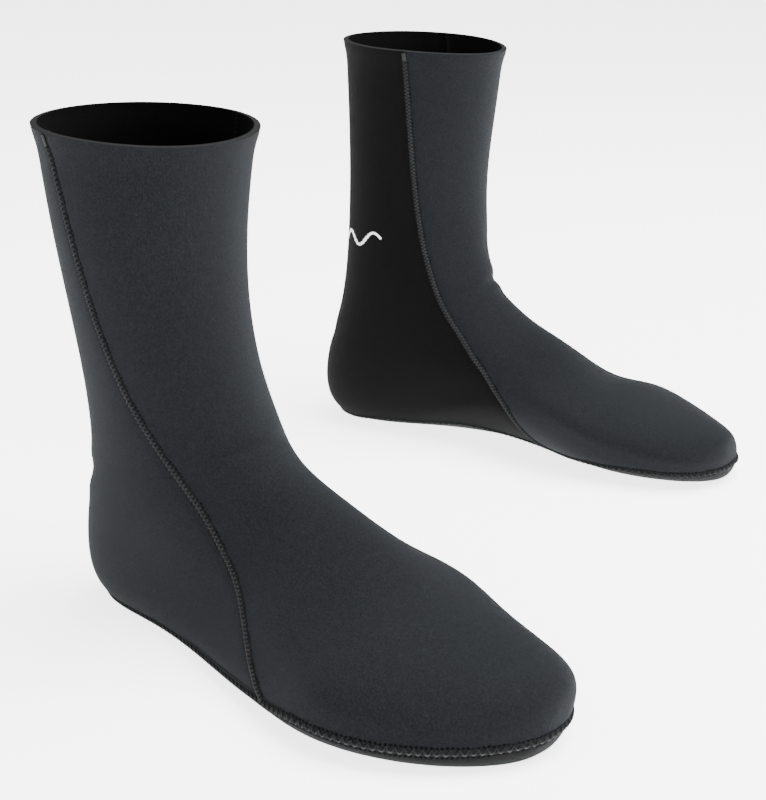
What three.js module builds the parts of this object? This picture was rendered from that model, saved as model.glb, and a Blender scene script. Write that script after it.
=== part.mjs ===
// A pair of sock-style neoprene boots for water sports, adult size EU 42 to 43.
// Each boot is three panels of foam rubber laminate, butted, glued and flat-seamed:
// a front panel (shin, instep and toe top), a back panel (calf and heel) and a sole.
// Millimetres and degrees. +X is forward to the toes, +Y is the wearer's left, +Z is up,
// and the origin is on the floor under the middle of the pair's box.
import * as THREE from 'three';
import { mergeVertices } from 'three/addons/utils/BufferGeometryUtils.js';

// ---- Driving dimensions ----
const FOOT_LENGTH = 274.5;      // heel to toe tip, outside
const BALL_WIDTH = 115;         // across the ball of the foot, outside
const CUFF_HEIGHT = 241;        // floor to the highest point of the cuff
const ANKLE_HEIGHT = 104;       // below this the shaft's height changes nothing
const WALL = 3;                 // laminate thickness
const ARCH_RISE = 26;           // lift of the inner arch off the floor
const FLAT = 0.8;               // how far the sole is pressed flat where it stands
const SEAM_GAP = 0.3;           // left between butted panel edges
const THREAD_GAP = 0.45;        // between a panel's face and what is sewn or printed on it
const COVER_WIDTH = 3;          // cover stitch on the outside of a seam
const COVER_HEIGHT = 1;
const LOOPER_WIDTH = 1.8;       // looper thread on the inside of a seam
const LOOPER_GAP = 0.65;        // it bridges the seam's inner corner
const LOOPER_HEIGHT = 0.5;
const TACK_LENGTH = 5;          // bar tack at the top of each side seam
const TACK_WIDTH = 3.4;
const TACK_HEIGHT = 1.4;
const CUFF_MARGIN = 1;          // from the cut edge to the first stitch
const SEAM_END = 5.5;           // from a side seam's last stitch to the sole seam's line
const WAVE_LENGTH = 22;         // printed wave line on the inner back of the calf
const WAVE_COUNT = 3;
const WAVE_HEIGHT = 4;
const WAVE_WIDTH = 2.4;
const PRINT_THICKNESS = 0.3;
const HEEL_SPREAD = 277;        // between the two heels, side to side
const LEFT_SETBACK = 76;        // how far the left boot stands behind the right one
const TOE_OUT = 11.6;           // each boot's toes turn out by this angle

// ---- Grid steps ----
const SIDE_STEPS = 24;          // rows from the cuff to the end of the side seams
const HIND_STEPS = 9;           // steps of the sole seam round half the heel
const FORE_STEPS = 12;          // steps of the sole seam from there to the toe tip
const FRONT_COLUMNS = 12;
const SOLE_COLUMNS = 8;

// Cuts through the right boot from cuff to toe tip. Each has its front or top point, its
// back or sole point, its half width, the side shift of its middle and of its front point,
// and how square its front and back halves are (2 is an ellipse).
const CUTS = [
  // frontX frontZ backX backZ half middle lean frontPower backPower
  [109, 237.5, 11.5, 241.5, 48, -13.5, 1.5, 2, 2],
  [104, 199, 13.5, 205, 44.5, -11.5, -2.5, 2, 2],
  [100, 162.5, 16, 164.5, 41.5, -7.5, -3.5, 2, 2],
  [103, 130.5, 17, 121.5, 39, -3, -2.5, 2, 2.1],
  [108, 107, 15.5, 78.5, 39.5, 1, 1, 2, 2.2],
  [117, 93, 2.5, 41.5, 39.5, 1.5, 5, 2, 2.4],
  [130, 85, 2.5, 13.5, 38.5, 0, 11, 2, 2.7],
  [145, 77.5, 19, 0, 36, -1, 18, 2, 3.2],
  [162, 71, 66, 0, 33, 0, 20, 2, 3.6],
  [180, 60, 109, 0, 41, 0.5, 22, 2, 3.6],
  [197, 46.5, 152, 0, 53.5, 5.5, 19, 2, 3.6],
  [213, 42.5, 194, 0, 57.5, 5, 9, 2.1, 3.6],
  [233, 35.5, 229, 0, 51.5, 9, 10.5, 2.2, 3.4],
  [257, 30.5, 257, 0, 38, 16, 12.5, 2.2, 3],
  [274, 29, 272, 0.5, 15, 22, 6.5, 2.2, 2.6],
  [274.5, 11.5, 274.5, 11.5, 0, 21.5, 0, 2.2, 2.4],
];
const ARCH_CUT = 9.4;           // the arch is highest at this cut
const ARCH_SPREAD = 1.25;       // and fades over about this many cuts

// Angles round the boot from its front or top middle line, one for each cut.
const SIDE_SEAMS = [
  // outer inner
  [96, 82], [86, 78], [79, 72], [72, 67], [59, 57], [52, 51],
  [53, 51], [61, 57], [74, 70], [90, 97], [111, 138], [140, 166],
];
const JUNCTION = 10.3;          // the side seams meet the sole seam at this cut
// The sole seam from the middle of the heel to the toe tip: cut, outer and inner angle.
const HIND_SEAM = [[6.4, 180, 180], [6.5, 166, 166], [6.9, 147, 147], [7.6, 136, 136],
  [8.6, 132, 145], [9.5, 129, 152]];
const FORE_SEAM = [[11, 111, 126], [12, 109, 112], [13, 106, 108], [14, 105, 105], [15, 103, 103]];

const JERSEY = { color: 0x2e3235, roughness: 0.85, metalness: 0 };
const SOLE_JERSEY = { color: 0x2a2d30, roughness: 0.9, metalness: 0 };
const THREAD = { color: 0x55544f, roughness: 0.7, metalness: 0 };
const PRINT = { color: 0xe8e8e8, roughness: 0.5, metalness: 0 };

// ---- The last: the smooth outer form of the right boot ----

// The table graded to the driving dimensions.
function gradedCuts() {
  const ball = Math.max(...CUTS.map((cut) => cut[4]));
  const long = FOOT_LENGTH / CUTS.at(-1)[0];
  const wide = BALL_WIDTH / 2 / ball;
  const tall = (CUFF_HEIGHT + FLAT - ANKLE_HEIGHT) / (CUTS[0][3] - ANKLE_HEIGHT);
  const grade = (z) => (z > ANKLE_HEIGHT ? ANKLE_HEIGHT + (z - ANKLE_HEIGHT) * tall : z);
  return CUTS.map(([fx, fz, bx, bz, half, middle, lean, fp, bp]) => [
    fx * long, grade(fz), bx * long, grade(bz), half * wide, middle * wide, lean * wide, fp, bp,
  ]);
}
const cuts = gradedCuts();
const TIP = cuts.length - 1;

// A uniform cubic B-spline through a table's rows, carried on straight past both ends.
function spline(table, at) {
  const last = table.length - 1;
  const i = Math.min(Math.floor(at), last - 1);
  const t = at - i;
  const weights = [(1 - t) ** 3, 3 * t ** 3 - 6 * t ** 2 + 4,
    -3 * t ** 3 + 3 * t ** 2 + 3 * t + 1, t ** 3];
  const row = (n) => {
    const inside = THREE.MathUtils.clamp(n, 0, last);
    const beyond = n - inside;
    return table[inside].map((value, k) =>
      value + Math.abs(beyond) * (value - table[inside - beyond][k]));
  };
  return table[0].map((_, k) => weights.reduce((sum, w, j) => sum + w * row(i - 1 + j)[k], 0) / 6);
}

// A point of the last at a cut and an angle, before the sole is pressed flat.
function lastPoint(cut, degrees) {
  const [fx, fz, bx, bz, half, middle, lean, frontPower, backPower] = spline(cuts, cut);
  const angle = THREE.MathUtils.degToRad(degrees);
  const c = Math.cos(angle);
  const s = Math.sin(angle);
  const power = THREE.MathUtils.lerp(frontPower, backPower, THREE.MathUtils.smoothstep(-c, -1, 1));
  const reach = (Math.abs(c) ** power + Math.abs(s) ** power) ** (-1 / power);
  const ahead = (1 + reach * c) / 2;
  const side = reach * s;
  const inwards = Math.max(side + 0.2, 0) / 1.2;
  const arch = ARCH_RISE * Math.exp(-(((cut - ARCH_CUT) / ARCH_SPREAD) ** 2)) * inwards ** 2;
  return new THREE.Vector3(
    THREE.MathUtils.lerp(bx, fx, ahead),
    middle + half * side + lean * ahead,
    THREE.MathUtils.lerp(bz, fz, ahead) + arch * (1 - ahead),
  );
}

// The outward direction of the last; the toe tip is the pole where all angles meet.
function outward(cut, degrees) {
  const step = 0.02;
  if (cut > TIP - step) return new THREE.Vector3(1, 0, 0);
  const near = Math.max(cut, step);
  const round = lastPoint(near, degrees + 1).sub(lastPoint(near, degrees - 1));
  const along = lastPoint(near + step, degrees).sub(lastPoint(near - step, degrees));
  return along.cross(round).normalize();
}

// A point at a height above the last's face, or below it if negative, never under the floor.
function skin(cut, degrees, height) {
  const point = lastPoint(cut, degrees).addScaledVector(outward(cut, degrees), height);
  point.z = Math.max(point.z, FLAT + Math.max(0, -height)) - FLAT;
  return point;
}

// ---- Closed solids from grids ----

// A closed mesh from points and four-cornered faces, each anticlockwise seen from outside;
// corners that meet are joined, and triangles that this leaves flat are dropped.
function solid(points, faces) {
  const corners = points.map((p) => p.toArray().map((n) => n.toFixed(4)).join());
  const triangles = faces.flatMap(([a, b, c, d]) => [[a, b, c], [a, c, d]])
    .filter((triangle) => new Set(triangle.map((n) => corners[n])).size === 3);
  const geometry = new THREE.BufferGeometry().setFromPoints(points);
  geometry.setIndex(triangles.flat());
  return mergeVertices(geometry, 1e-4);
}

// The same face, turned if need be so that its fold is a valley and leaves its neighbour room.
function valley(points, face) {
  const [p, q, r, s] = face.map((n) => points[n]);
  const side = q.clone().sub(p).cross(r.clone().sub(p)).dot(s.clone().sub(p));
  return side > 0 ? face : [...face.slice(1), face[0]];
}

// Sewn edges stand back from the seam line by half the gap: every edge of a grid but its
// first row, which is sewn only where startSewn says so. A row that is one point is a pole.
function trimEdges(grid, startSewn) {
  const lastRow = grid.length - 1;
  const lastColumn = grid[0].length - 1;
  const middle = Math.round(lastColumn / 2);
  return grid.map((row, r) => row.map((point, c) => {
    const down = Number(r === 0 && startSewn) - Number(r === lastRow);
    const across = Number(c === 0) - Number(c === lastColumn);
    if (!down && !across) return point;
    const pole = row[0].distanceTo(row[lastColumn]) < 1e-6;
    const target = pole ? grid[r + down][middle] : grid[r + down][c + across];
    const reach = SEAM_GAP / 2 * (pole ? 1 : Math.hypot(down, across));
    return point.clone().addScaledVector(target.clone().sub(point).normalize(), reach);
  }));
}

// A panel of laminate over a grid of [cut, angle] places.
function panel(places, startSewn = false) {
  const sides = [0, -WALL].map((height) => trimEdges(
    places.map((row) => row.map(([cut, angle]) => skin(cut, angle, height))), startSewn));
  const points = sides.flat(2);
  const rows = places.length;
  const columns = places[0].length;
  const at = (side, r, c) => (side * rows + r) * columns + c;
  const faces = [];
  for (let r = 0; r < rows - 1; r++) {
    for (let c = 0; c < columns - 1; c++) {
      faces.push([at(0, r, c), at(0, r + 1, c), at(0, r + 1, c + 1), at(0, r, c + 1)]);
      faces.push([at(1, r, c), at(1, r, c + 1), at(1, r + 1, c + 1), at(1, r + 1, c)]);
    }
  }
  const rim = [
    ...places.map((_, r) => [r, 0]),
    ...places[0].map((_, c) => [rows - 1, c]),
    ...places.map((_, r) => [rows - 1 - r, columns - 1]),
    ...places[0].map((_, c) => [0, columns - 1 - c]),
  ];
  rim.forEach((a, n) => {
    const b = rim[(n + 1) % rim.length];
    faces.push(valley(points, [at(0, ...b), at(0, ...a), at(1, ...a), at(1, ...b)]));
  });
  return solid(points, faces);
}

// A strip that follows a line on the last; its section is a list of [across, height].
function strip(line, section, closed = false) {
  const points = line.flatMap(({ point, normal, forward }) => {
    const across = normal.clone().cross(forward).normalize();
    return section.map(([side, height]) =>
      point.clone().addScaledVector(across, side).addScaledVector(normal, height));
  });
  const size = section.length;
  const faces = [];
  for (let n = 0; n < (closed ? line.length : line.length - 1); n++) {
    const next = (n + 1) % line.length;
    section.forEach((_, k) => {
      const side = (k + 1) % size;
      faces.push([n * size + k, n * size + side, next * size + side, next * size + k]);
    });
  }
  if (!closed) {
    const first = section.map((_, k) => k);
    const last = first.map((k) => (line.length - 1) * size + k);
    for (const cap of [first.toReversed(), last]) {
      for (let k = 1; k < size - 1; k++) faces.push([cap[0], cap[k], cap[k + 1], cap[k + 1]]);
    }
  }
  return solid(points, faces);
}

// ---- Seam lines ----

const sideAngles = (cut) => spline(SIDE_SEAMS, cut);
const junction = [JUNCTION, ...sideAngles(JUNCTION)];
const soleCurve = new THREE.CatmullRomCurve3(
  [...HIND_SEAM, junction, ...FORE_SEAM].map((row) => new THREE.Vector3(...row)));
const hindShare = HIND_SEAM.length / (HIND_SEAM.length + FORE_SEAM.length);

const steps = (count, low, high) =>
  Array.from({ length: count + 1 }, (_, n) => THREE.MathUtils.lerp(low, high, n / count));
const seamRows = (count, low, high) =>
  steps(count, low, high).map((t) => soleCurve.getPoint(t).toArray());

const sideRows = steps(SIDE_STEPS, 0, JUNCTION).map((cut) => [cut, ...sideAngles(cut)]);
const hindRows = seamRows(HIND_STEPS, 0, hindShare);
const foreRows = seamRows(FORE_STEPS, hindShare, 1);

const outerPlaces = (rows) => rows.map(([cut, outer]) => [cut, -outer]);
const innerPlaces = (rows) => rows.map(([cut, , inner]) => [cut, inner]);

// A line on the last through a list of [cut, angle] places.
function lineThrough(places, closed = false) {
  const points = places.map(([cut, angle]) => skin(cut, angle, 0));
  const count = points.length;
  const near = (n) => points[closed ? (n + count) % count : THREE.MathUtils.clamp(n, 0, count - 1)];
  return places.map(([cut, angle], n) => ({
    point: points[n],
    normal: outward(cut, angle),
    forward: near(n + 1).clone().sub(near(n - 1)).normalize(),
  }));
}

// The stretch of a line between two distances from its start.
function stretch(line, from, to) {
  const result = [];
  let walked = 0;
  const mix = (a, b, t) => ({
    point: a.point.clone().lerp(b.point, t),
    normal: a.normal.clone().lerp(b.normal, t).normalize(),
    forward: a.forward.clone().lerp(b.forward, t).normalize(),
  });
  for (let n = 0; n < line.length - 1; n++) {
    const length = line[n].point.distanceTo(line[n + 1].point);
    const low = (from - walked) / length;
    const high = (to - walked) / length;
    if (low >= 0 && low < 1) result.push(mix(line[n], line[n + 1], low));
    if (high > 0 && high <= 1) result.push(mix(line[n], line[n + 1], high));
    else if (low < 1 && high > 1) result.push(line[n + 1]);
    walked += length;
  }
  return result;
}

const lineLength = (line) => line.slice(1).reduce((sum, spot, n) =>
  sum + spot.point.distanceTo(line[n].point), 0);

// ---- Panels ----

// Shin, instep and the top of the toes, from the cuff to the toe tip.
function frontPanel() {
  const rows = [...sideRows, ...foreRows.slice(1)];
  const places = rows.map(([cut, outer, inner]) =>
    steps(FRONT_COLUMNS, -outer, inner).map((angle) => [cut, angle]));
  return panel(places);
}

// Calf, heel and quarters: a patch blended between the cuff, both side seams and the heel's
// part of the sole seam, so that every grid line starts at the cuff and ends at the sole.
function backPanel() {
  const round = (places) => places.map(([cut, angle]) => [cut, angle < 0 ? angle + 360 : angle]);
  const bottom = [...innerPlaces(hindRows).toReversed(), ...round(outerPlaces(hindRows)).slice(1)];
  const inner = innerPlaces(sideRows);
  const outer = round(outerPlaces(sideRows));
  const top = steps(bottom.length - 1, inner[0][1], outer[0][1]).map((angle) => [0, angle]);
  const end = bottom.length - 1;
  const places = inner.map((_, r) => {
    const t = r / SIDE_STEPS;
    return bottom.map((__, c) => {
      const u = c / end;
      return [0, 1].map((k) => {
        const edges = (1 - t) * top[c][k] + t * bottom[c][k]
          + (1 - u) * inner[r][k] + u * outer[r][k];
        const corners = (1 - t) * ((1 - u) * top[0][k] + u * top[end][k])
          + t * ((1 - u) * bottom[0][k] + u * bottom[end][k]);
        return edges - corners;
      });
    });
  });
  return panel(places);
}

// The sole, shaped like an insole and turned up a little all round.
function solePanel() {
  const rows = [...hindRows, ...foreRows.slice(1)];
  const places = rows.map(([cut, outer, inner]) =>
    steps(SOLE_COLUMNS, inner, 360 - outer).map((angle) => [cut, angle]));
  return panel(places, true);
}

// ---- Stitching and print ----

const ridge = (width, low, high) => [[-width / 2, low], [width / 2, low],
  [width / 3, low + (high - low) * 0.7], [0, high], [-width / 3, low + (high - low) * 0.7]];
const band = (width, low, high) => [[-width / 2, low], [width / 2, low],
  [width / 2, high], [-width / 2, high]];
const coverSection = ridge(COVER_WIDTH, THREAD_GAP, THREAD_GAP + COVER_HEIGHT);
const looperDepth = -WALL - LOOPER_GAP;
const looperSection = band(LOOPER_WIDTH, looperDepth - LOOPER_HEIGHT, looperDepth);

// One side seam: its cover stitch outside, its looper thread inside and its bar tack.
function sideStitching(places) {
  const line = lineThrough(places);
  const first = CUFF_MARGIN + TACK_LENGTH + THREAD_GAP;
  const stop = lineLength(line) - SEAM_END;
  return {
    cover: strip(stretch(line, first, stop), coverSection),
    looper: strip(stretch(line, CUFF_MARGIN, stop), looperSection),
    tack: strip(stretch(line, CUFF_MARGIN, CUFF_MARGIN + TACK_LENGTH),
      band(TACK_WIDTH, THREAD_GAP, TACK_HEIGHT)),
  };
}

// The sole seam runs once round the whole sole.
function soleStitching() {
  const half = [...hindRows, ...foreRows.slice(1)];
  const loop = [...outerPlaces(half), ...innerPlaces(half).toReversed().slice(1, -1)];
  const line = lineThrough(loop, true);
  return { cover: strip(line, coverSection, true), looper: strip(line, looperSection, true) };
}

// A plain wave line printed round the inner side of the calf's back.
function wavePrint() {
  const printCut = 3;
  const printAngle = 148;
  const samplesPerWave = 10;
  const radius = (lastPoint(printCut, 90).y - lastPoint(printCut, 270).y) / 2;
  const halfSpan = THREE.MathUtils.radToDeg(WAVE_LENGTH * WAVE_COUNT / 2 / radius);
  const cutPerMm = 1 / (lastPoint(printCut, 180).z - lastPoint(printCut + 1, 180).z);
  const places = steps(WAVE_COUNT * samplesPerWave, -1, 1).map((t) => [
    printCut + WAVE_HEIGHT * cutPerMm * Math.sin(t * WAVE_COUNT * Math.PI), printAngle + t * halfSpan,
  ]);
  return strip(lineThrough(places), band(WAVE_WIDTH, THREAD_GAP, THREAD_GAP + PRINT_THICKNESS));
}

// ---- The pair ----

function rightBootPieces() {
  const outerSide = sideStitching(outerPlaces(sideRows));
  const innerSide = sideStitching(innerPlaces(sideRows));
  const sole = soleStitching();
  return [
    ['front_panel', frontPanel(), JERSEY],
    ['back_panel', backPanel(), JERSEY],
    ['sole_panel', solePanel(), SOLE_JERSEY],
    ['outer_side_cover_stitch', outerSide.cover, THREAD],
    ['inner_side_cover_stitch', innerSide.cover, THREAD],
    ['sole_cover_stitch', sole.cover, THREAD],
    ['outer_side_looper_thread', outerSide.looper, THREAD],
    ['inner_side_looper_thread', innerSide.looper, THREAD],
    ['sole_looper_thread', sole.looper, THREAD],
    ['outer_side_bar_tack', outerSide.tack, THREAD],
    ['inner_side_bar_tack', innerSide.tack, THREAD],
    ['wave_print', wavePrint(), PRINT],
  ];
}

// The left boot is the right one mirrored, with its faces turned to point out again.
function mirrored(geometry) {
  const copy = geometry.clone().scale(1, -1, 1);
  const index = copy.getIndex().array;
  for (let n = 0; n < index.length; n += 3) [index[n], index[n + 1]] = [index[n + 1], index[n]];
  return copy;
}

function boot(side, pieces) {
  const group = new THREE.Group();
  for (const [name, geometry, finish] of pieces) {
    const mesh = new THREE.Mesh(side === 'left' ? mirrored(geometry) : geometry,
      new THREE.MeshStandardMaterial(finish));
    mesh.name = `${side}_${name}`;
    group.add(mesh);
  }
  return group;
}

const pieces = rightBootPieces();
const rightBoot = boot('right', pieces);
rightBoot.rotation.z = THREE.MathUtils.degToRad(-TOE_OUT);
const leftBoot = boot('left', pieces);
leftBoot.rotation.z = THREE.MathUtils.degToRad(TOE_OUT);
leftBoot.position.set(-LEFT_SETBACK, HEEL_SPREAD, 0);

const pair = new THREE.Group();
pair.add(rightBoot, leftBoot);
const middleOfPair = new THREE.Box3().setFromObject(pair, true).getCenter(new THREE.Vector3());
pair.position.set(-middleOfPair.x, -middleOfPair.y, 0);

export default pair;
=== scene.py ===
# A pair of sock-style neoprene boots: three panels of jersey-faced foam rubber a boot, butted,
# glued and flat-seamed. Sizes are in millimetres, and a piece's mesh is turned into metres.
import bpy
import bmesh
import numpy as np
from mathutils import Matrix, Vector


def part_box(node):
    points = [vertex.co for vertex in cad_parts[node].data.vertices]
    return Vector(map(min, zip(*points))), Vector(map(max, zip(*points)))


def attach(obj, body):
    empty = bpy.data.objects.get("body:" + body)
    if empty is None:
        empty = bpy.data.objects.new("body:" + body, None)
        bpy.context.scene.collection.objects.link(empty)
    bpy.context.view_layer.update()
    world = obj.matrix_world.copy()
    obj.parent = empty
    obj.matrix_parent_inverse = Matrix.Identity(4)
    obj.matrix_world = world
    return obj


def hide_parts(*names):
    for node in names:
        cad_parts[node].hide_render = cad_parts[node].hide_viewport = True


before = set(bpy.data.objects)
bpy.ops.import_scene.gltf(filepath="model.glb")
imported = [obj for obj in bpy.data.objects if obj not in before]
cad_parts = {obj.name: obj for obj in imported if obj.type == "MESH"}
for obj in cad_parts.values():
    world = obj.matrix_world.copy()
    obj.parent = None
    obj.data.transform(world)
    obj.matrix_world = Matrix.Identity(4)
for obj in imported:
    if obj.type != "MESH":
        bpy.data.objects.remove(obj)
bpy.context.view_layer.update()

# ---- Floor, light and camera ----
# A white studio floor, lit through from below as on a shooting table, under soft boxes: a strong
# broad one high over the pair, and a faint one at each side.
FLOOR_EDGE = 60
floor_mesh = bpy.data.meshes.new("floor")
floor_mesh.from_pydata([(x * FLOOR_EDGE, y * FLOOR_EDGE, 0)
                        for x, y in ((-1, -1), (1, -1), (1, 1), (-1, 1))], [], [(0, 1, 2, 3)])
floor = bpy.data.objects.new("floor", floor_mesh)
bpy.context.scene.collection.objects.link(floor)
paint = bpy.data.materials.new("white_floor")
paint.use_nodes = True
sweep = paint.node_tree.nodes["Principled BSDF"].inputs
sweep["Base Color"].default_value = (0.86, 0.86, 0.86, 1)
sweep["Roughness"].default_value = 0.8
sweep["Emission Color"].default_value = (1, 1, 1, 1)
sweep["Emission Strength"].default_value = 3.4
floor_mesh.materials.append(paint)

world = bpy.data.worlds.new("white_room")
world.use_nodes = True
world.node_tree.nodes["Background"].inputs["Color"].default_value = (1, 1, 1, 1)
world.node_tree.nodes["Background"].inputs["Strength"].default_value = 0.85
bpy.context.scene.world = world


def aim(thing, place, target):
    """Puts a light or camera at a place, with its own -Z turned to the target."""
    thing.location = place
    thing.rotation_euler = (Vector(target) - Vector(place)).to_track_quat("-Z", "Y").to_euler()


def soft_box(name, place, target, width, height, watts):
    """A rectangular area light of the given sides, aimed at a point."""
    lamp = bpy.data.lights.new(name, "AREA")
    lamp.shape, lamp.size, lamp.size_y, lamp.energy = "RECTANGLE", width, height, watts
    box = bpy.data.objects.new(name, lamp)
    bpy.context.scene.collection.objects.link(box)
    aim(box, place, target)


PAIR_MIDDLE = (0, 0, 0.1)
soft_box("top_box", (0.5, 0.3, 1.6), PAIR_MIDDLE, 1.6, 1.6, 124)
soft_box("left_box", (-1.3, -0.9, 0.8), PAIR_MIDDLE, 0.7, 1.5, 1)
soft_box("right_box", (1.2, 0.9, 0.8), PAIR_MIDDLE, 0.7, 1.5, 7)

viewer = bpy.data.cameras.new("camera")
viewer.sensor_width, viewer.lens = 36, 76.5
camera = bpy.data.objects.new("camera", viewer)
bpy.context.scene.collection.objects.link(camera)
LOOK_DOWN = 18.3
eye = np.array([0.4767, -0.7067, 0.3572])
look = np.array([-0.5856, 0.8106, -np.tan(np.radians(LOOK_DOWN))])
aim(camera, tuple(eye), tuple(eye + look))
bpy.context.scene.camera = camera

# ---- Front panels: shin, instep and toe top ----
# One piece of 3 mm foam rubber with jersey on both faces runs from the cuff to the toe tip. Its
# top edge is left as cut, and its other edges are butted and glued to the back and the sole.
WALL, FLAT = 3, 0.8
ANKLE_HEIGHT = 104
CUFF_HEIGHT = 241
HEM_FLARE, HEM_DIP, HEM_CUTS = 1.5, 1.8, 0.2
# The rows of the form came from another program's least-squares fit, rounded to half a
# millimetre, and only a few values were set by hand after it.
CUTS = np.array([
    # frontX frontZ backX backZ half middle lean frontPower backPower
    [109, 237.5, 11.5, 241.5, 48, -13.5, 1.5, 2, 2],
    [104, 199, 13.5, 205, 44.5, -11.5, -2.5, 2, 2],
    [100, 162.5, 16, 164.5, 41.5, -7.5, -3.5, 2, 2],
    [103, 130.5, 17, 121.5, 39, -3, -2.5, 2, 2.1],
    [108, 107, 15.5, 78.5, 39.5, 1, 1, 2, 2.2],
    [117, 93, 2.5, 41.5, 39.5, 1.5, 5, 2, 2.4],
    [130, 85, 2.5, 13.5, 38.5, 0, 11, 2, 2.7],
    [145, 77.5, 19, 0, 36, -1, 18, 2, 3.2],
    [162, 71, 66, 0, 33, 0, 20, 2, 3.6],
    [180, 60, 109, 0, 41, 0.5, 22, 2, 3.6],
    [197, 46.5, 152, 0, 53.5, 5.5, 19, 2, 3.6],
    [213, 42.5, 194, 0, 57.5, 5, 9, 2.1, 3.6],
    [233, 35.5, 229, 0, 51.5, 9, 10.5, 2.2, 3.4],
    [257, 30.5, 257, 0, 38, 16, 12.5, 2.2, 3],
    [274, 29, 272, 0.5, 15, 22, 6.5, 2.2, 2.6],
    [274.5, 11.5, 274.5, 11.5, 0, 21.5, 0, 2.2, 2.4],
])
shaft_stretch = (CUFF_HEIGHT + FLAT - ANKLE_HEIGHT) / (CUTS[0, 3] - ANKLE_HEIGHT)
CUTS[:, [1, 3]] += np.maximum(CUTS[:, [1, 3]] - ANKLE_HEIGHT, 0) * (shaft_stretch - 1)
TIP = len(CUTS) - 1
ARCH_RISE, ARCH_CUT, ARCH_SPREAD = 26, 9.4, 1.25
# Outer and inner angle of the side seams at each cut, and the sole seam as cut, outer, inner.
SIDE_SEAMS = np.array([
    [96, 82], [86, 78], [79, 72], [72, 67], [59, 57], [52, 51],
    [53, 51], [61, 57], [74, 70], [90, 97], [111, 138], [140, 166],
])
JUNCTION = 10.3
HIND_SEAM = [[6.4, 180, 180], [6.5, 166, 166], [6.9, 147, 147], [7.6, 136, 136],
             [8.6, 132, 145], [9.5, 129, 152]]
FORE_SEAM = [[11, 111, 126], [12, 109, 112], [13, 106, 108], [14, 105, 105], [15, 103, 103]]


def spline(table, at):
    """Uniform cubic B-spline through a table's rows: the four nearest rows, weighted by the
    blending cubics of the fraction between rows; past both ends the table runs on straight."""
    rows = np.vstack([2 * table[0] - table[1], table, 2 * table[-1] - table[-2]])
    i = np.clip(np.floor(at).astype(int), 0, len(table) - 2)
    t = (at - i)[..., None]
    weights = [(1 - t) ** 3, 3 * t ** 3 - 6 * t ** 2 + 4,
               -3 * t ** 3 + 3 * t ** 2 + 3 * t + 1, t ** 3]
    return sum(w * rows[i + k] for k, w in enumerate(weights)) / 6


def last_point(cut, degrees):
    """The boot's smooth outer form: at a cut, a superellipse between a front or top point and a
    back or sole point, its front half and back half with their own power, its front point
    leaning sideways, the inner side of its sole lifted by a bell curve at the arch, and the
    cuff's edge flaring a little all round and dipping at its front."""
    fx, fz, bx, bz, half, middle, lean, front, back = np.moveaxis(spline(CUTS, cut), -1, 0)
    c, s = np.cos(np.radians(degrees)), np.sin(np.radians(degrees))
    m = (1 - c) / 2
    power = front + (back - front) * m * m * (3 - 2 * m)
    reach = (np.abs(c) ** power + np.abs(s) ** power) ** (-1 / power)
    ahead, side = (1 + reach * c) / 2, reach * s
    arch = ARCH_RISE * np.exp(-((cut - ARCH_CUT) / ARCH_SPREAD) ** 2)
    arch = arch * (np.maximum(side + 0.2, 0) / 1.2) ** 2 * (1 - ahead)
    hem = np.exp(-(cut / HEM_CUTS) ** 2)
    half = half + HEM_FLARE * hem
    fx, bx = fx + HEM_FLARE * hem, bx - HEM_FLARE * hem
    return np.stack([bx + (fx - bx) * ahead, middle + half * side + lean * ahead,
                     bz + (fz - bz) * ahead + arch - HEM_DIP * hem * np.maximum(c, 0) ** 2], -1)


def outward(cut, degrees):
    """The form's normal: the cross product of its steps along the cuts and round them."""
    step = 0.02
    near = np.maximum(cut, step)
    round_it = last_point(near, degrees + 1) - last_point(near, degrees - 1)
    along = last_point(near + step, degrees) - last_point(near - step, degrees)
    normal = np.cross(along, round_it)
    normal[cut > TIP - step] = (1, 0, 0)
    return normal / np.linalg.norm(normal, axis=-1, keepdims=True)


def skin(cut, degrees, height):
    """A point of the form moved out along its normal by a height, and pressed flat where it
    would pass through the floor."""
    cut, degrees = np.broadcast_arrays(np.asarray(cut, float), np.asarray(degrees, float))
    height = np.broadcast_to(np.asarray(height, float), cut.shape)
    point = last_point(cut, degrees) + outward(cut, degrees) * height[..., None]
    point[..., 2] = np.maximum(point[..., 2], FLAT + np.maximum(0, -height)) - FLAT
    return point


def seam_curve(count, low, high):
    """Centripetal Catmull-Rom curve through the sole seam's knots, evenly stepped by knot."""
    knots = np.array(HIND_SEAM + [[JUNCTION, *side_angles(np.array(JUNCTION))]] + FORE_SEAM, float)
    knots = np.vstack([2 * knots[0] - knots[1], knots, 2 * knots[-1] - knots[-2]])
    at = np.linspace(low, high, count + 1) * (len(knots) - 3)
    i = np.minimum(at.astype(int), len(knots) - 4)
    w = (at - i)[:, None]
    p0, p1, p2, p3 = (knots[i + k] for k in range(4))
    gap = [np.sum((b - a) ** 2, 1, keepdims=True) ** 0.25
           for a, b in ((p0, p1), (p1, p2), (p2, p3))]
    t1 = ((p1 - p0) / gap[0] - (p2 - p0) / (gap[0] + gap[1]) + (p2 - p1) / gap[1]) * gap[1]
    t2 = ((p2 - p1) / gap[1] - (p3 - p1) / (gap[1] + gap[2]) + (p3 - p2) / gap[2]) * gap[1]
    return p1 + w * (t1 + w * (3 * (p2 - p1) - 2 * t1 - t2 + w * (2 * (p1 - p2) + t1 + t2)))


def side_angles(cut):
    """The outer and inner side seam's angles at a cut."""
    return np.moveaxis(spline(SIDE_SEAMS, cut), -1, 0)


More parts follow.
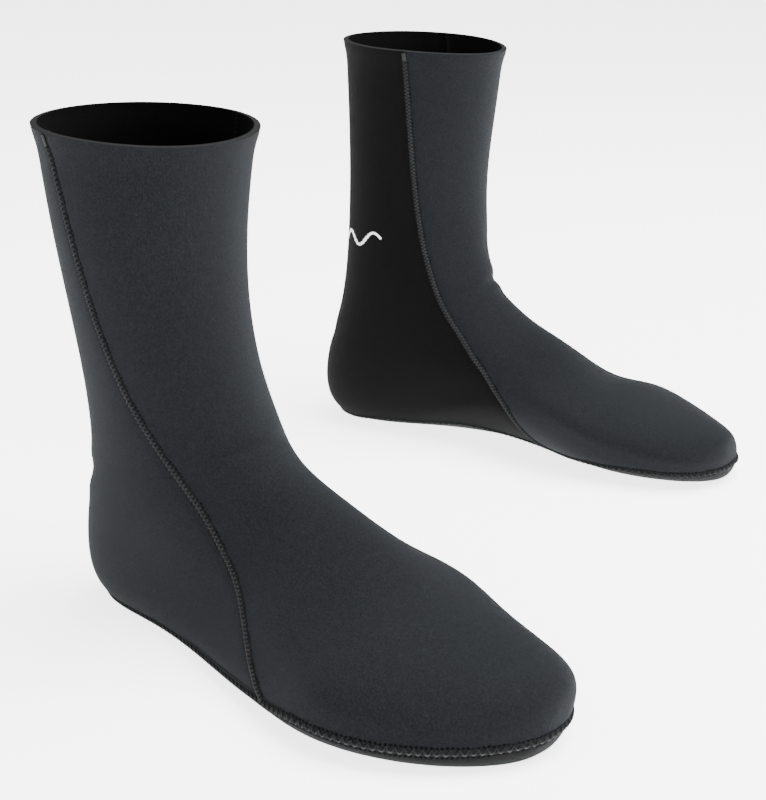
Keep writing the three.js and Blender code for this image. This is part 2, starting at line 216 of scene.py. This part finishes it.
SIDE_ROWS, HIND_STEPS, FORE_STEPS = 111, 44, 60
side_cuts = np.linspace(0, JUNCTION, SIDE_ROWS)
side_rows = np.column_stack([side_cuts, *side_angles(side_cuts)])
hind_share = len(HIND_SEAM) / (len(HIND_SEAM) + len(FORE_SEAM))
hind_rows = seam_curve(HIND_STEPS, 0, hind_share)
fore_rows = seam_curve(FORE_STEPS, hind_share, 1)


def walked(points, axis):
    """Distance walked over a grid of points along one axis, from its start."""
    steps = np.linalg.norm(np.diff(points, axis=axis), axis=-1)
    return np.concatenate([np.zeros_like(np.take(steps, [0], axis)), np.cumsum(steps, axis)], axis)


TOE_OUT = 11.6
PER_METRE = 1000
turn = {"right": np.radians(-TOE_OUT), "left": np.radians(TOE_OUT)}
heel = {"right": np.zeros(3), "left": np.zeros(3)}


def stand(points, side):
    """A boot's points turned out and set down where that boot stands; the left one is the
    mirror image of the right one. Millimetres become metres."""
    x, y, z = np.moveaxis(points, -1, 0)
    y = -y if side == "left" else y
    c, s = np.cos(turn[side]), np.sin(turn[side])
    return np.stack([x * c - y * s, x * s + y * c, z], -1) / PER_METRE + heel[side]


FRONT_COLUMNS = 73
front_rows = np.vstack([side_rows, fore_rows[1:]])
front_share = np.linspace(0, 1, FRONT_COLUMNS)
front_cut = np.broadcast_to(front_rows[:, :1], (len(front_rows), FRONT_COLUMNS))
front_degrees = -front_rows[:, 1:2] + front_share * (front_rows[:, 1:2] + front_rows[:, 2:3])
plain_front = skin(front_cut, front_degrees, 0)
# Each boot is set down so that its front panel lies where the solid panel does.
for side in heel:
    spots = stand(plain_front, side).reshape(-1, 3)
    corners = np.array(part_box(f"{side}_front_panel"))
    heel[side] = (corners.sum(0) - spots.min(0) - spots.max(0)) / 2 * [1, 1, 0]


class Shade:
    """A value in a material's nodes; arithmetic on it adds Math nodes."""

    def __init__(self, tree, socket=None):
        self.tree, self.socket = tree, socket

    def node(self, kind, sockets=None, out=0, **settings):
        """Adds a node: its settings first, then its sockets' values or links."""
        made = self.tree.nodes.new(kind)
        for key, value in settings.items():
            setattr(made, key, value)
        for key, value in (sockets or {}).items():
            if isinstance(value, Shade):
                self.tree.links.new(value.socket, made.inputs[key])
            else:
                made.inputs[key].default_value = value
        return Shade(self.tree, made.outputs[out])

    def beside(self, out):
        """Another output of the node that this value comes from."""
        return Shade(self.tree, self.socket.node.outputs[out])

    def maths(self, operation, *values):
        """A Math node with this value as its first operand."""
        return self.node("ShaderNodeMath", dict(enumerate((self, *values))), operation=operation)

    def __add__(self, other):
        return self.maths("ADD", other)

    def __sub__(self, other):
        return self.maths("SUBTRACT", other)

    def __mul__(self, other):
        return self.maths("MULTIPLY", other)

    def __truediv__(self, other):
        return self.maths("DIVIDE", other)

    def __pow__(self, other):
        return self.maths("POWER", other)

    def __rsub__(self, other):
        return self * -1 + other

    def __rtruediv__(self, other):
        return self ** -1 * other

    __radd__, __rmul__ = __add__, __mul__

    def smooth(self, low, high):
        """Rises smoothly from 0 to 1 as the value goes from low to high."""
        return self.node("ShaderNodeMapRange", {0: self, 1: low, 2: high},
                         interpolation_type="SMOOTHSTEP")

    def tint(self, first, second):
        """The first colour where the value is 0, the second where it is 1."""
        return self.node("ShaderNodeMix", {0: self, 6: first, 7: second}, 2, data_type="RGBA")


def new_finish(name, **sockets):
    """A material with one Principled shader, whose fixed numbers are set on its own sockets.
    Returns it with a Shade to build nodes on, and the shader."""
    material = bpy.data.materials.new(name)
    material.use_nodes = True
    shader = material.node_tree.nodes["Principled BSDF"]
    for key, value in sockets.items():
        shader.inputs[key.replace("_", " ")].default_value = value
    return material, Shade(material.node_tree), shader


def feed(shade, shader, colour, roughness, height, strength, distance):
    """Links what changes over a surface to its shader: colour, roughness and a bump's height."""
    bump = shade.node("ShaderNodeBump", {"Height": height, "Strength": strength,
                                         "Distance": distance})
    for key, value in (("Base Color", colour), ("Roughness", roughness), ("Normal", bump)):
        shade.tree.links.new(value.socket, shader.inputs[key])


def on_map(shade):
    """The two coordinates of a piece's own millimetre map."""
    place = shade.node("ShaderNodeUVMap", uv_map="millimetres")
    first = shade.node("ShaderNodeSeparateXYZ", {0: place})
    return first, first.beside(1)


KNIT_COLUMN, KNIT_LOOP = 0.62, 0.5


def jersey(name, thread, gap, fuzz):
    """Matte knitted jersey: columns of V-shaped loops on the piece's own millimetre map, fine
    specks, lint and a faint unevenness of the dye; its rim goes paler as fibres stand up."""
    material, shade, shader = new_finish(name, Specular_IOR_Level=0.05, Sheen_Weight=fuzz,
                                         Sheen_Roughness=0.4, Sheen_Tint=(0.85, 0.92, 1, 1))
    u, v = on_map(shade)
    arm = ((u / KNIT_COLUMN).maths("FRACT") - 0.5).maths("ABSOLUTE")
    loop = ((v / KNIT_LOOP + arm * 1.3).maths("FRACT") - 0.5).maths("ABSOLUTE") * 2
    furrow = arm.smooth(0.3, 0.5)
    knit = (1 - loop.smooth(0.35, 1)) * (1 - furrow * 0.7)
    where = shade.node("ShaderNodeTexCoord", out=3)
    grain = shade.node("ShaderNodeTexNoise", {"Vector": where, "Scale": 1050, "Detail": 3,
                                              "Roughness": 0.75})
    lint = shade.node("ShaderNodeTexNoise", {"Vector": where, "Scale": 480, "Detail": 1})
    lint = lint.smooth(0.72, 0.8)
    dye = shade.node("ShaderNodeTexNoise", {"Vector": where, "Scale": 14, "Detail": 3})
    tone = knit * 0.3 + grain.smooth(0.3, 0.7) * 0.55 + dye * 0.3 - 0.05
    tone = tone + lint * 0.5
    feed(shade, shader, tone.tint((*gap, 1), (*thread, 1)), 0.78 + grain * 0.15,
         knit * 0.7 + grain * 0.5, 0.5, 0.00022)
    return material


def cut_foam():
    """The laminate's cut edge: a face jersey, closed-cell foam with tiny pores, and a lining,
    told apart by the depth through the wall. The foam is black, and all three are painted
    darker still, down to near black: painted shade along the cuff's rim."""
    material, shade, shader = new_finish("cut_foam_edge_painted_shade", Specular_IOR_Level=0.08)
    depth = shade.node("ShaderNodeAttribute", out=2, attribute_name="depth")
    where = shade.node("ShaderNodeTexCoord", out=3)
    pores = shade.node("ShaderNodeTexVoronoi", {"Vector": where, "Scale": 2200})
    foam = depth.smooth(0.12, 0.18) * (1 - depth.smooth(0.82, 0.88))
    tone = foam * (0.35 + pores.smooth(0.1, 0.5) * 0.65)
    # Black foam and jersey, painted darker still: painted shade over the cuff's rim.
    feed(shade, shader, tone.tint((0.002, 0.002, 0.002, 1), (0.0065, 0.0067, 0.007, 1)),
         0.7 + pores * 0.2, foam * pores, 0.4, 0.0003)
    return material


outer_jersey = jersey("black_jersey", (0.0116, 0.0131, 0.0147), (0.0013, 0.0015, 0.0017), 0.03)
# The lining is painted near black, far darker than the outer jersey: painted shade for the inside
# of the boots.
lining_painted_shade = jersey("black_lining_painted_shade", (0.0007, 0.0007, 0.0007), (0.0003, 0.0003, 0.0003), 0)
foam_edge = cut_foam()


SAME_POINT, SHARP_DEGREES = 2e-6, 50


def mesh_piece(name, side, points, faces, uv, materials, kinds=None, depth=None):
    """An object from points in the boot's own frame and four-cornered faces that turn
    anticlockwise seen from outside on the right boot; on the left one they are turned round."""
    if side == "left":
        faces = faces[:, ::-1]
    mesh = bpy.data.meshes.new(name)
    mesh.from_pydata(stand(points, side), [], faces)
    layer = mesh.uv_layers.new(name="millimetres")
    corners = np.empty(len(mesh.loops), int)
    mesh.loops.foreach_get("vertex_index", corners)
    layer.data.foreach_set("uv", uv[corners].astype(np.float32).ravel())
    if depth is not None:
        attribute = mesh.attributes.new("depth", "FLOAT", "POINT")
        attribute.data.foreach_set("value", depth.astype(np.float32))
    for material in materials:
        mesh.materials.append(material)
    if kinds is not None:
        mesh.polygons.foreach_set("material_index", kinds.astype(np.int32))
    mesh.polygons.foreach_set("use_smooth", np.ones(len(mesh.polygons), bool))
    sheet = bmesh.new()
    sheet.from_mesh(mesh)
    bmesh.ops.remove_doubles(sheet, verts=sheet.verts, dist=SAME_POINT)
    sheet.to_mesh(mesh)
    sheet.free()
    mesh.set_sharp_from_angle(angle=np.radians(SHARP_DEGREES))
    made = bpy.data.objects.new(name, mesh)
    bpy.context.scene.collection.objects.link(made)
    return made


def shell_faces(rows, columns):
    """Faces of a closed shell over two grids of points stored row by row, one grid under the
    other: the upper face, seen anticlockwise when the rows run along the cuts and the columns
    from the outer side to the inner, the under face turned round, and the rim between them."""
    r, c = np.meshgrid(np.arange(rows - 1), np.arange(columns - 1), indexing="ij")
    a = (r * columns + c).ravel()
    top = np.column_stack([a, a + columns, a + columns + 1, a + 1])
    deep = rows * columns
    index = np.arange(deep).reshape(rows, columns)
    ring = np.concatenate([index[:, 0], index[-1, 1:], index[-2::-1, -1], index[0, -2:0:-1]])
    after = np.roll(ring, -1)
    return top, top[:, ::-1] + deep, np.column_stack([after, ring, ring + deep, after + deep])


def laminate(name, side, cut, degrees, relief, skins):
    """A closed panel: the outer face over a grid of cuts and angles, lifted by a relief, the
    inner face a wall's thickness below it, and a rim of cut foam round both."""
    outer, inner = skin(cut, degrees, relief), skin(cut, degrees, relief - WALL)
    rows, columns = cut.shape
    across, along = walked(outer, 1), walked(outer, 0)
    uv = np.stack([across - across[:, columns // 2][:, None], along], -1).reshape(-1, 2)
    points = np.concatenate([outer.reshape(-1, 3), inner.reshape(-1, 3)])
    layers = shell_faces(rows, columns)
    kinds = np.repeat([0, 1, 2], [len(layer) for layer in layers])
    depth = np.repeat([0.0, 1.0], rows * columns)
    return mesh_piece(name, side, points, np.concatenate(layers), np.concatenate([uv, uv]), skins,
                      kinds, depth)


def from_edges(outer, sides):
    """Distance of each point of a face from the nearest of its sewn edges: the least of the
    distances walked from the sides named."""
    across, along = walked(outer, 1), walked(outer, 0)
    reach = {"left": across, "right": across[:, -1:] - across,
             "end": along[-1:] - along, "start": along}
    return np.minimum.reduce([reach[edge] for edge in sides])


SEAM_SINK, SINK_WIDTH, PUCKER_WIDTH = 0.5, 2.2, 7
PUCKERS = ((0.07, 7.5, 0), (0.05, 17, 1))


def sewn(distance, run):
    """How a face sinks towards a seam: a bell curve of the distance from it, plus a faint pucker,
    sine waves of the run along it, each with a height, a length and a start, that fade with the
    distance."""
    pucker = sum(high * np.sin(2 * np.pi * run / long + begin) for high, long, begin in PUCKERS)
    sink = SEAM_SINK * np.exp(-(distance / SINK_WIDTH) ** 2)
    return -sink + pucker * np.exp(-(distance / PUCKER_WIDTH) ** 2)


SWELL_HEIGHT, SWELL_AT, SWELL_WIDTH = 0.45, 1.9, 1.1


def fold(value, at, width, depth):
    """A soft fold: a valley of the given depth where the value is at its place, with a lower
    swell on each side, all of them bell curves."""
    t = (value - at) / width
    swell = SWELL_HEIGHT * np.exp(-((np.abs(t) - SWELL_AT) / SWELL_WIDTH) ** 2)
    return depth * (-np.exp(-t ** 2) + swell)


front_relief = sewn(from_edges(plain_front, ("left", "right")), walked(plain_front, 0))
front_relief[-1] = -SEAM_SINK
# Each fold's place and width in cuts, and its depth.
INSTEP_FOLD, SHIN_FOLD = (4.6, 0.18, 1.5), (3.55, 0.3, 0.35)
middle_share = np.exp(-((front_share[None, :] - 0.5) / 0.3) ** 2)
front_relief = front_relief + middle_share * fold(front_cut, *INSTEP_FOLD)
front_relief = front_relief + middle_share * fold(front_cut, *SHIN_FOLD)
for side in ("right", "left"):
    panel = laminate(f"{side}_front", side, front_cut, front_degrees, front_relief,
                     [outer_jersey, lining_painted_shade, foam_edge])
    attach(panel, f"{side}_boot")
    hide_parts(f"{side}_front_panel")

# ---- Back panels: calf, heel and quarters ----
# The second piece of the same laminate wraps the calf and the heel from one side seam to the
# other, and creases at the tendon, the left one half as deep. The left one's jersey is painted
# darker than the right one's: painted shade.
hind_inner = hind_rows[::-1][:, [0, 2]]
hind_outer = np.column_stack([hind_rows[:, 0], 360 - hind_rows[:, 1]])
bottom_edge = np.vstack([hind_inner, hind_outer[1:]])
inner_edge = side_rows[:, [0, 2]]
outer_edge = np.column_stack([side_rows[:, 0], 360 - side_rows[:, 1]])
round_share = np.linspace(0, 1, len(bottom_edge))[None, :, None]
down_share = np.linspace(0, 1, len(inner_edge))[:, None, None]
top_edge = np.column_stack([np.zeros(len(bottom_edge)),
                            np.linspace(inner_edge[0, 1], outer_edge[0, 1], len(bottom_edge))])
# A patch between four edges: the blend of the top and bottom edge plus the blend of the side
# edges, less the blend of the four corners.
patch = ((1 - down_share) * top_edge[None] + down_share * bottom_edge[None]
         + (1 - round_share) * inner_edge[:, None] + round_share * outer_edge[:, None]
         - (1 - down_share) * ((1 - round_share) * top_edge[0] + round_share * top_edge[-1])
         - down_share * ((1 - round_share) * bottom_edge[0] + round_share * bottom_edge[-1]))
back_cut, back_degrees = patch[..., 0], patch[..., 1]
plain_back = skin(back_cut, back_degrees, 0)
back_relief = sewn(from_edges(plain_back, ("left", "right", "end")), walked(plain_back, 0))
TENDON_FOLD = (4.5, 0.14, 2.0)
CREASE_MIDDLE, CREASE_SPREAD, CREASE_SLANT = 195, 38, 0.004
round_back = np.exp(-((back_degrees - CREASE_MIDDLE) / CREASE_SPREAD) ** 2)
slanting = back_cut + (back_degrees - 180) * CREASE_SLANT
crease = round_back * fold(slanting, *TENDON_FOLD)
# The left back panel's jersey: the same black jersey with its colours painted darker, painted
# shade.
painted_shade_jersey = jersey("black_jersey_painted_shade", (0.0030, 0.0029, 0.0031),
                       (0.0005, 0.0005, 0.0005), 0.01)
for side, tendon, cloth in (("right", 1.0, outer_jersey), ("left", 0.5, painted_shade_jersey)):
    panel = laminate(f"{side}_back", side, back_cut, back_degrees, back_relief + tendon * crease,
                     [cloth, lining_painted_shade, foam_edge])
    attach(panel, f"{side}_boot")
    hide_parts(f"{side}_back_panel")

# ---- Soles ----
# An insole-shaped piece of laminate, faced with a duller jersey. Its edge turns up all round, so
# the sole seam runs clear of the floor.
sole_jersey = jersey("sole_jersey", (0.0100, 0.0102, 0.0096), (0.0028, 0.0029, 0.0027), 0.06)
SOLE_COLUMNS = 41
sole_rows = np.vstack([hind_rows, fore_rows[1:]])
sole_share = np.linspace(0, 1, SOLE_COLUMNS)
sole_cut = np.broadcast_to(sole_rows[:, :1], (len(sole_rows), SOLE_COLUMNS))
sole_degrees = sole_rows[:, 2:3] + sole_share * (360 - sole_rows[:, 1:2] - sole_rows[:, 2:3])
plain_sole = skin(sole_cut, sole_degrees, 0)
sole_relief = sewn(from_edges(plain_sole, ("left", "right")), walked(plain_sole, 0))
sole_relief[[0, -1]] = -SEAM_SINK
for side in ("right", "left"):
    panel = laminate(f"{side}_sole", side, sole_cut, sole_degrees, sole_relief,
                     [sole_jersey, lining_painted_shade, foam_edge])
    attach(panel, f"{side}_boot")
    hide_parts(f"{side}_sole_panel")

# ---- Cover stitches ----
# Outside, each seam is covered by a flat-seam stitch: the butted edges swell into a low ridge, and
# the cover thread crosses over it from hole to hole, longer stitches round the sole than up the
# sides.
STITCH = 2.1
SOLE_STITCH = 3.7
HOLE_AT = 2.05
RIDGE_HALF, RIDGE_FOOT, RIDGE_CROWN = 2.9, -0.3, 0.85
RIDGE_STEP, RIDGE_COLUMNS = 1.0, 13
THREAD_INSET, THREAD_FOOT, THREAD_CROWN = 0.55, -0.1, 1.0
TURN = 6.283


def seam_line(places, closed=False):
    """A seam as points, normals and run, from a dense list of cut and angle."""
    cut, degrees = np.asarray(places).T
    point, normal = skin(cut, degrees, 0), outward(cut, degrees)
    if closed:
        point, normal = np.vstack([point, point[:1]]), np.vstack([normal, normal[:1]])
    run = walked(point, 0)
    return point, normal, run


def on_seam(line, run, across, height):
    """Points at a run along a seam, a distance across it and a height above it, with the
    seam's normal there."""
    point, normal, walk = line
    at = np.stack([np.interp(run, walk, point[:, k]) for k in range(3)], -1)
    up = np.stack([np.interp(run, walk, normal[:, k]) for k in range(3)], -1)
    up /= np.linalg.norm(up, axis=-1, keepdims=True)
    ahead = np.stack([np.interp(run + 1, walk, point[:, k]) - np.interp(run - 1, walk, point[:, k])
                      for k in range(3)], -1)
    ahead /= np.linalg.norm(ahead, axis=-1, keepdims=True)
    cross = np.cross(up, ahead)
    cross /= np.linalg.norm(cross, axis=-1, keepdims=True)
    return at + cross * across[..., None] + up * height[..., None], up


def ridge(line, start, stop, half, foot, crown):
    """A low strip along a seam whose section is a bell curve: foot at its edges and crown at
    its middle, swelling a little at every stitch. Returns its points, faces and millimetre map
    of run and distance across."""
    count = max(int((stop - start) / RIDGE_STEP), 8)
    run, across = np.meshgrid(np.linspace(start, stop, count),
                              np.linspace(-half, half, RIDGE_COLUMNS), indexing="ij")
    bell = np.exp(-(across / (half * 0.38)) ** 2)
    lump = 1 + 0.06 * np.sin(2 * np.pi * run / STITCH)
    height = foot + (crown - foot) * bell * lump
    top = on_seam(line, run, across, height)[0]
    under = on_seam(line, run, across * 0.9, np.full_like(run, foot - 0.35))[0]
    faces = np.concatenate(shell_faces(*run.shape))
    uv = np.stack([run, across], -1).reshape(-1, 2)
    return np.concatenate([top.reshape(-1, 3), under.reshape(-1, 3)]), faces, np.vstack([uv, uv])


def thread_run(line, run, across, height, radius):
    """A thread as a six-sided tube whose path runs along a seam: each ring lies square to the
    path, in the plane of the seam's normal and the path's own crossways direction."""
    path, up = on_seam(line, run, across, height)
    forward = np.gradient(path, axis=0)
    forward /= np.linalg.norm(forward, axis=-1, keepdims=True)
    wide = np.cross(up, forward)
    wide /= np.linalg.norm(wide, axis=-1, keepdims=True)
    high = np.cross(forward, wide)
    turns = np.radians(np.arange(6) * 60)[None, :, None]
    ring = wide[:, None] * np.cos(turns) + high[:, None] * np.sin(turns)
    points = path[:, None] + radius * ring
    n, k = np.meshgrid(np.arange(len(run) - 1), np.arange(6), indexing="ij")
    a, b = (n * 6 + k).ravel(), (n * 6 + (k + 1) % 6).ravel()
    end = (len(run) - 1) * 6
    caps = np.array([[3, 2, 1, 0], [5, 4, 3, 0], [end, end + 1, end + 2, end + 3],
                     [end, end + 3, end + 4, end + 5]])
    uv = np.column_stack([np.repeat(run, 6), np.tile(np.arange(6) / 6, len(run))])
    faces = np.concatenate([np.column_stack([a, b, b + 6, a + 6]), caps])
    return points.reshape(-1, 3), faces, uv


def zigzag(line, start, stop, pitch, half, foot, crown, radius, phase, sign=1):
    """A thread that crosses a seam from hole to hole: its distance across is a rounded triangle
    wave of the run, and its height is a bell curve of that distance. Sign -1 lays it inside."""
    count = int((stop - start) / pitch) * 4 + 1
    run = np.linspace(start, stop, count)
    wave = np.arcsin(0.97 * np.sin(np.pi * run / pitch + phase)) / (np.pi / 2)
    across = half * wave
    bell = np.exp(-(across / (HOLE_AT * 0.6)) ** 2)
    return thread_run(line, run, across, sign * (foot + (crown - foot) * bell), radius)


def sewing_thread(name, pale, dark, highlight_colour=None):
    """Twisted polyester thread: a slanting twist on the run, patchy tone, almost no gloss. A
    highlight colour, where given, is a painted highlight on the low side of each stitch from 75
    to 125 mm ahead of the pair's middle: fully at the toe of the right boot, half at that of the
    left, which stands back."""
    material, shade, shader = new_finish(name, Specular_IOR_Level=0.08)
    u, v = on_map(shade)
    twist = ((u / 0.35 + v) * TURN).maths("SINE") * 0.5 + 0.5
    where = shade.node("ShaderNodeTexCoord", out=3)
    patch_tone = shade.node("ShaderNodeTexNoise", {"Vector": where, "Scale": 260, "Detail": 2})
    tone = twist * 0.35 + patch_tone * 0.9 - 0.1
    colour = tone.tint((*dark, 1), (*pale, 1))
    # Painted highlight: paler thread where the toe seam turns up to the light.
    if highlight_colour:
        ahead = shade.node("ShaderNodeSeparateXYZ", {0: where})
        low_side = (u / SOLE_STITCH * TURN).maths("SINE") * -0.5 + 0.5
        painted_highlight = ahead.smooth(0.075, 0.125) * low_side.smooth(0.45, 0.95)
        colour = painted_highlight.tint(colour, tone.tint((*dark, 1), (*highlight_colour, 1)))
    feed(shade, shader, colour, 0.5 + twist * 0.2, twist, 0.4, 0.00008)
    return material


def stitched_ridge(name):
    """The swollen seam under the threads: jersey, with a dark needle hole every stitch on both
    sides."""
    material, shade, shader = new_finish(name, Specular_IOR_Level=0.05)
    run, across = on_map(shade)
    cell = (run / STITCH).maths("FRACT") - 0.5
    side_way = across.maths("ABSOLUTE")
    gap = (cell * STITCH * 0.8) ** 2 + (side_way - HOLE_AT) ** 2
    hole = 1 - gap.smooth(0.14, 0.5)
    where = shade.node("ShaderNodeTexCoord", out=3)
    grain = shade.node("ShaderNodeTexNoise", {"Vector": where, "Scale": 1000, "Detail": 2})
    tone = (grain.smooth(0.2, 0.8) * 0.7 + 0.2) * (1 - hole * 0.95)
    feed(shade, shader, tone.tint((0.0004, 0.0004, 0.0004, 1), (0.0125, 0.0137, 0.0150, 1)),
         0.75 + grain * 0.2, grain * 0.4 - hole, 0.6, 0.0003)
    return material


needle_thread = sewing_thread("grey_thread", (0.0310, 0.0315, 0.0310), (0.0080, 0.0082, 0.0082))
# The sole seam's thread: the grey thread painted darker along the sides, painted shade under the
# boot, and paler at the toes, a painted highlight.
sole_thread = sewing_thread("grey_thread_painted_shade_and_highlight", (0.0130, 0.0135, 0.0135),
                            (0.0050, 0.0051, 0.0051), (0.075, 0.074, 0.072))
seam_ridge = stitched_ridge("seam_ridge")


def joined(parts):
    """Several grids of points, faces and maps as one, the faces counted on."""
    starts = np.cumsum([0] + [len(p[0]) for p in parts[:-1]])
    return (np.concatenate([p[0] for p in parts]),
            np.concatenate([p[1] + s for p, s in zip(parts, starts)]),
            np.concatenate([p[2] for p in parts]))


def cover_stitch(name, side, line, start, stop, node, stitch, thread_finish):
    """The ridge and its crossing thread as one piece that stands for a CAD strip."""
    swell = ridge(line, start, stop, RIDGE_HALF, RIDGE_FOOT, RIDGE_CROWN)
    thread = zigzag(line, start + 0.3, stop - 0.3, stitch / 2, HOLE_AT - THREAD_INSET,
                    THREAD_FOOT, THREAD_CROWN, 0.1 * stitch, 0)
    points, faces, uv = joined([swell, thread])
    kinds = np.repeat([0, 1], [len(swell[1]), len(thread[1])])
    made = mesh_piece(name, side, points, faces, uv, [seam_ridge, thread_finish], kinds)
    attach(made, f"{side}_boot")
    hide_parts(node)


fine_cuts = np.linspace(0, JUNCTION, 301)
fine_angles = side_angles(fine_cuts)
side_lines = {"outer": seam_line(np.column_stack([fine_cuts, -fine_angles[0]])),
              "inner": seam_line(np.column_stack([fine_cuts, fine_angles[1]]))}
fine_sole = np.vstack([seam_curve(180, 0, hind_share), seam_curve(220, hind_share, 1)[1:]])
sole_loop = np.vstack([fine_sole[:, [0, 1]] * [1, -1], fine_sole[::-1][1:-1][:, [0, 2]]])
sole_line = seam_line(sole_loop, closed=True)
TACK_START, TACK_END = 1.0, 6
for side in ("right", "left"):
    for flank, line in side_lines.items():
        cover_stitch(f"{side}_{flank}_seam", side, line, TACK_END + 0.3, line[2][-1] - 1.2,
                     f"{side}_{flank}_side_cover_stitch", STITCH, needle_thread)
    cover_stitch(f"{side}_sole_seam", side, sole_line, 0, sole_line[2][-1],
                 f"{side}_sole_cover_stitch", SOLE_STITCH, sole_thread)

# ---- Looper threads ----
# Inside, the same stitch shows as two flat zigzag looper threads and a chain along the middle
# that lie on the glued joint of the lining.
black_thread = sewing_thread("black_thread", (0.0016, 0.0016, 0.0016), (0.0006, 0.0006, 0.0006))
LOOPER_HALF, LOOPER_LOW, LOOPER_HIGH, LOOPER_THREAD = 1.3, WALL + 0.25, WALL + 0.45, 0.2
CHAIN_SWAY, CHAIN_DEPTH, CHAIN_THREAD, CHAIN_STEP = 0.22, WALL + 0.7, 0.24, 0.7
for side in ("right", "left"):
    for flank, line in (*side_lines.items(), ("sole", sole_line)):
        first, end = (1, line[2][-1] - 5.5) if flank != "sole" else (0.5, line[2][-1] - 0.5)
        parts = [zigzag(line, first, end, STITCH, LOOPER_HALF, LOOPER_LOW, LOOPER_HIGH,
                        LOOPER_THREAD, phase, -1) for phase in (0, np.pi)]
        run = np.linspace(first, end, int((end - first) / CHAIN_STEP))
        parts.append(thread_run(line, run, CHAIN_SWAY * np.sin(2 * np.pi * run / STITCH),
                                np.full_like(run, -CHAIN_DEPTH), CHAIN_THREAD))
        points, faces, uv = joined(parts)
        made = mesh_piece(f"{side}_{flank}_looper", side, points, faces, uv, [black_thread])
        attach(made, f"{side}_boot")
        name = "sole" if flank == "sole" else f"{flank}_side"
        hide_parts(f"{side}_{name}_looper_thread")

# ---- Bar tacks ----
# A dense satin zigzag locks the top of each side seam just under the cut edge of the cuff.
tack_thread = sewing_thread("pale_tack_thread", (0.040, 0.040, 0.038), (0.010, 0.010, 0.010))
PAD_HALF, PAD_FOOT, PAD_CROWN = 1.9, -0.4, 0.45
SATIN_PITCH, SATIN_HALF, SATIN_FOOT, SATIN_CROWN, SATIN_THREAD = 0.3, 1.6, -0.1, 0.65, 0.19
for side in ("right", "left"):
    for flank, line in side_lines.items():
        pad = ridge(line, TACK_START, TACK_END, PAD_HALF, PAD_FOOT, PAD_CROWN)
        satin = zigzag(line, TACK_START + 0.1, TACK_END - 0.1, SATIN_PITCH, SATIN_HALF, SATIN_FOOT,
                       SATIN_CROWN, SATIN_THREAD, 0)
        points, faces, uv = joined([pad, satin])
        kinds = np.repeat([0, 1], [len(pad[1]), len(satin[1])])
        made = mesh_piece(f"{side}_{flank}_tack", side, points, faces, uv,
                          [seam_ridge, tack_thread], kinds)
        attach(made, f"{side}_boot")
        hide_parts(f"{side}_{flank}_side_bar_tack")

# ---- Wave prints ----
# A plain wave line in white elastic ink, screened round the inner side of the calf's back. It
# is a film, thin enough for the knit to show through, with its edges drawn down to the jersey.
WAVE_LENGTH, WAVE_COUNT, WAVE_HEIGHT, WAVE_WIDTH = 22, 3, 4, 2.4
PRINT_CUT, PRINT_DEGREES = 3, 148
edge_points = last_point(np.full(2, float(PRINT_CUT)), np.array([90.0, 270.0]))
calf_radius = (edge_points[0, 1] - edge_points[1, 1]) / 2
half_span = np.degrees(WAVE_LENGTH * WAVE_COUNT / 2 / calf_radius)
level = last_point(np.array([PRINT_CUT, PRINT_CUT + 1.0]), np.array([180.0, 180.0]))
cut_per_mm = 1 / (level[0, 2] - level[1, 2])


def elastic_ink():
    """White ink with the knit faint in it, worn a little thin in specks."""
    material, shade, shader = new_finish("white_elastic_ink", Specular_IOR_Level=0.3)
    where = shade.node("ShaderNodeTexCoord", out=3)
    grain = shade.node("ShaderNodeTexNoise", {"Vector": where, "Scale": 900, "Detail": 3})
    worn = shade.node("ShaderNodeTexNoise", {"Vector": where, "Scale": 350, "Detail": 4})
    tone = grain * 0.35 + worn.smooth(0.68, 0.74) * -0.7 + 0.75
    feed(shade, shader, tone.tint((0.06, 0.065, 0.07, 1), (0.8, 0.8, 0.79, 1)),
         0.5 + grain * 0.2, grain, 0.4, 0.0002)
    return material


ink = elastic_ink()
swing = np.linspace(-1, 1, 181)
wave_line = seam_line(np.column_stack([
    PRINT_CUT + WAVE_HEIGHT * cut_per_mm * np.sin(swing * WAVE_COUNT * np.pi),
    PRINT_DEGREES + swing * half_span]))
for side in ("right", "left"):
    points, faces, uv = ridge(wave_line, 0, wave_line[2][-1], WAVE_WIDTH / 2, -0.02, 0.22)
    made = mesh_piece(f"{side}_wave", side, points, faces, uv, [ink])
    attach(made, f"{side}_boot")
    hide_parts(f"{side}_wave_print")
